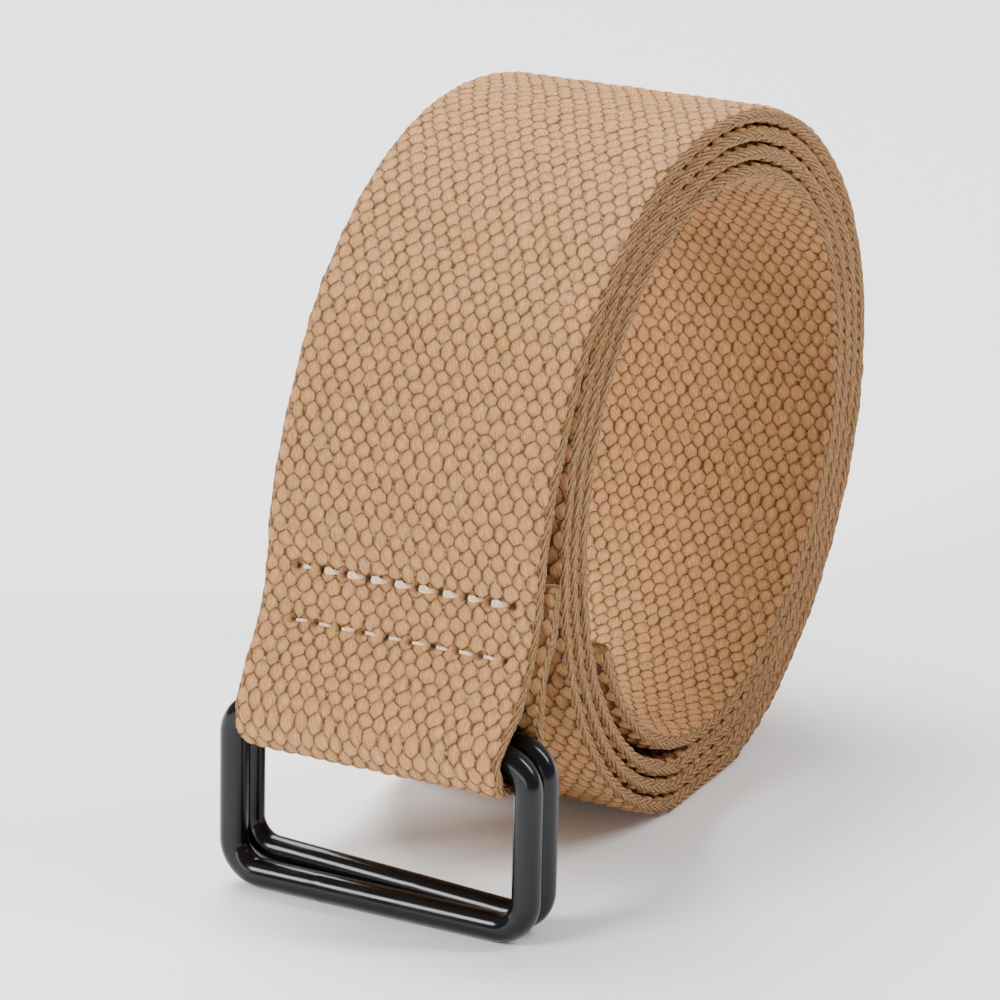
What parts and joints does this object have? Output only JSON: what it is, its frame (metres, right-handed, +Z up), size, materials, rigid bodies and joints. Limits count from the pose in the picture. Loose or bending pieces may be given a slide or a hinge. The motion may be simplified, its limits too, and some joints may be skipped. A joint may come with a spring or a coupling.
{
  "type": "double ring belt",
  "caption": "Rolled canvas webbing belt, its end sewn round rectangular wire rings that grip the other end.",
  "frame": {"origin": "under the middle of the whole belt, on the surface that it stands on", "axes": "+X across the webbing, +Y from the rings back through the roll, +Z up"},
  "size_m": [0.0446, 0.1048, 0.0891],
  "materials": {
    "webbing": "thick woven cotton, matt, sand coloured",
    "ring_paint": "smooth black paint with a soft gloss",
    "thread": "twisted sewing thread, cream"
  },
  "bodies": {
    "root": {"strap": "webbing", "ring_front": "ring_paint", "ring_rear": "ring_paint"}
  },
  "joints": []
}
